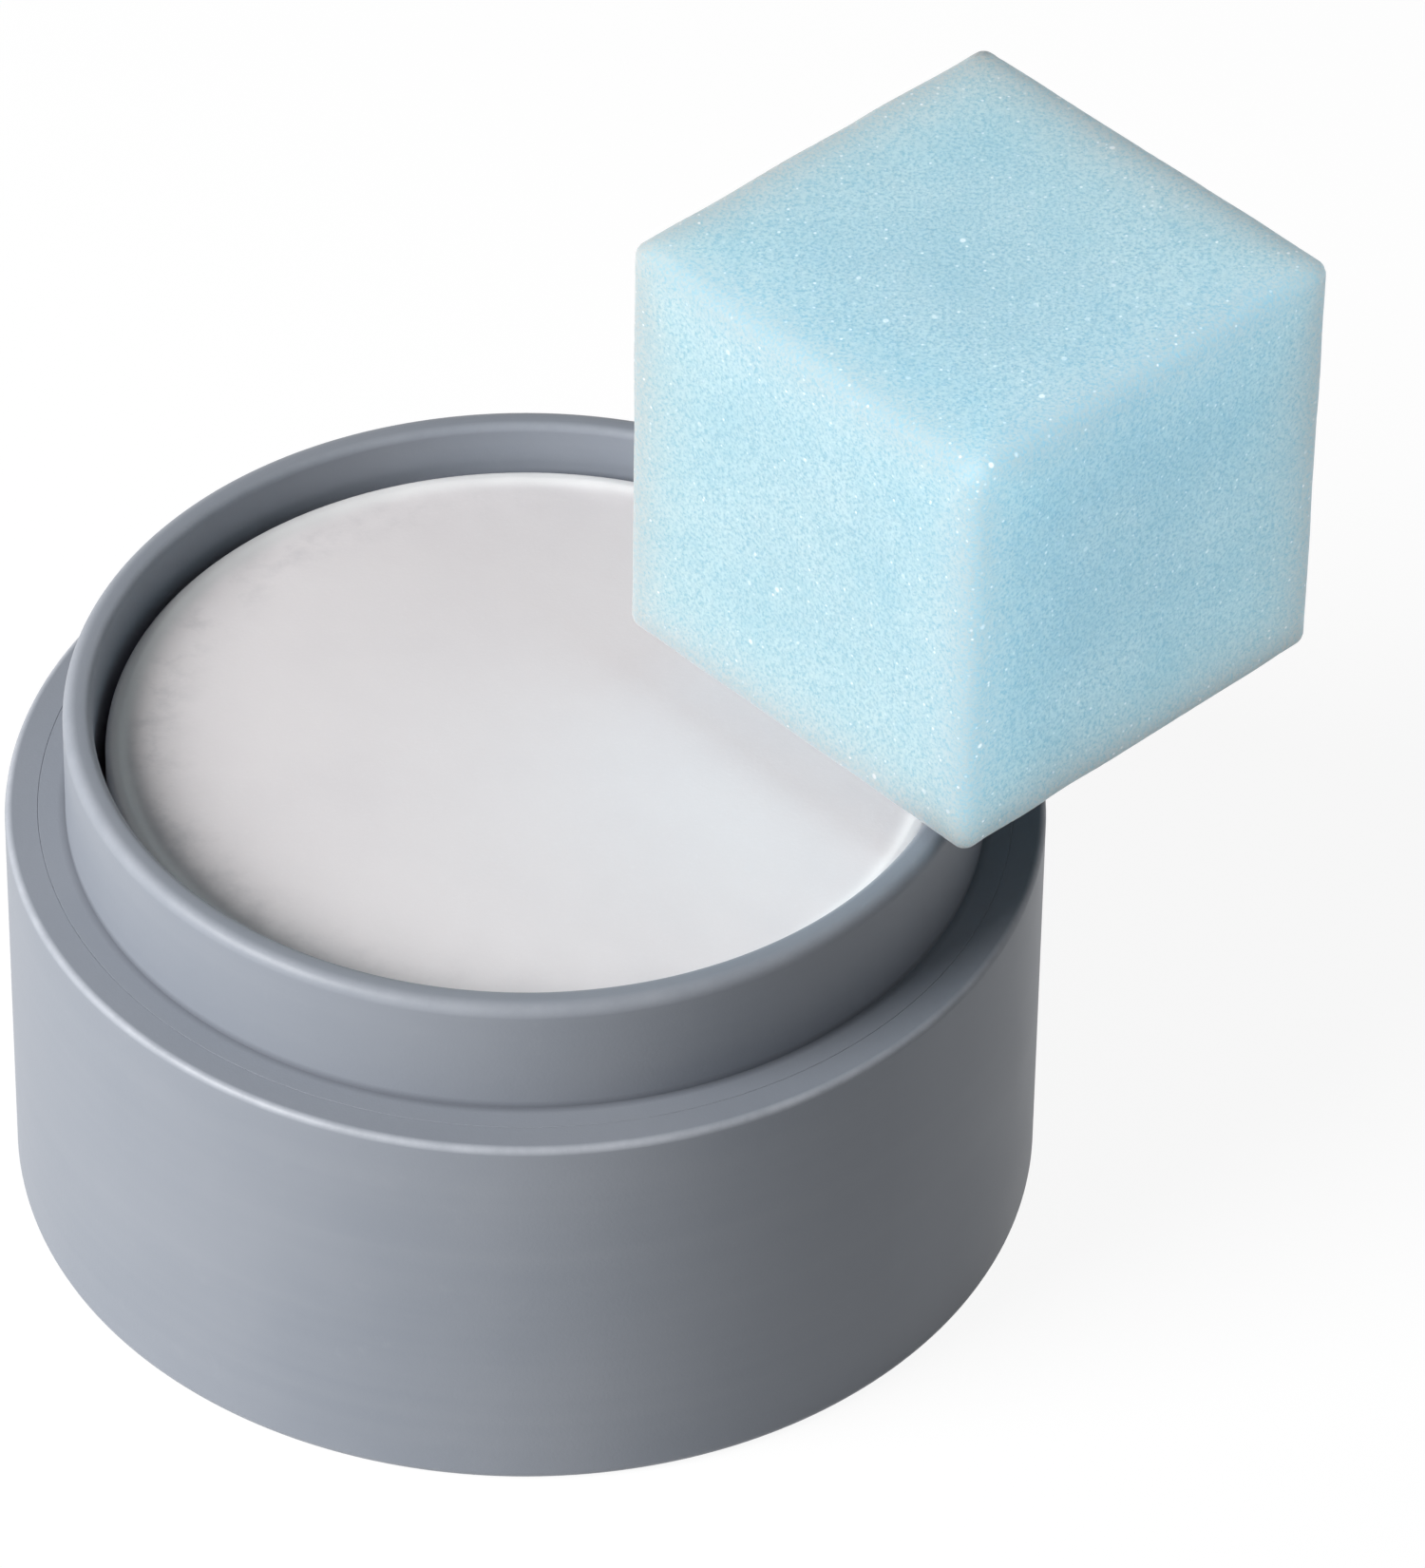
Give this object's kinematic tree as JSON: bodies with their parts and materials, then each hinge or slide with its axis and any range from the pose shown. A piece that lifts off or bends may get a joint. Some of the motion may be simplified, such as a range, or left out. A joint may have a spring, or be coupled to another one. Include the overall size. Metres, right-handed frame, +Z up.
{
  "type": "paint cake pot with sponge",
  "caption": "Round grey two-wall plastic pot with a stepped neck, an open mouth over a pale cake of water-based colour, and a soft blue foam sponge block standing on its rim.",
  "frame": {"origin": "middle of the pot's underside, on the surface that it stands on", "axes": "+Z up along the pot's axis, +X to the right and -Y towards the viewer in the picture"},
  "size_m": [0.0747, 0.06, 0.0613],
  "materials": {
    "grey_plastic": "fine satin moulded plastic",
    "colour_cake": "smooth dry pressed colour with a faint sheen",
    "blue_foam": "fine open-pored soft foam"
  },
  "bodies": {
    "pot": {"outer_shell": "grey_plastic", "inner_cup": "grey_plastic", "paint_cake": "colour_cake"},
    "sponge": {"sponge": "blue_foam"}
  },
  "joints": [
    {"name": "sponge_lift", "type": "slide", "parent": "pot", "child": "sponge", "axis": [0, 0, 1], "range_m": [0, 0.06]}
  ]
}
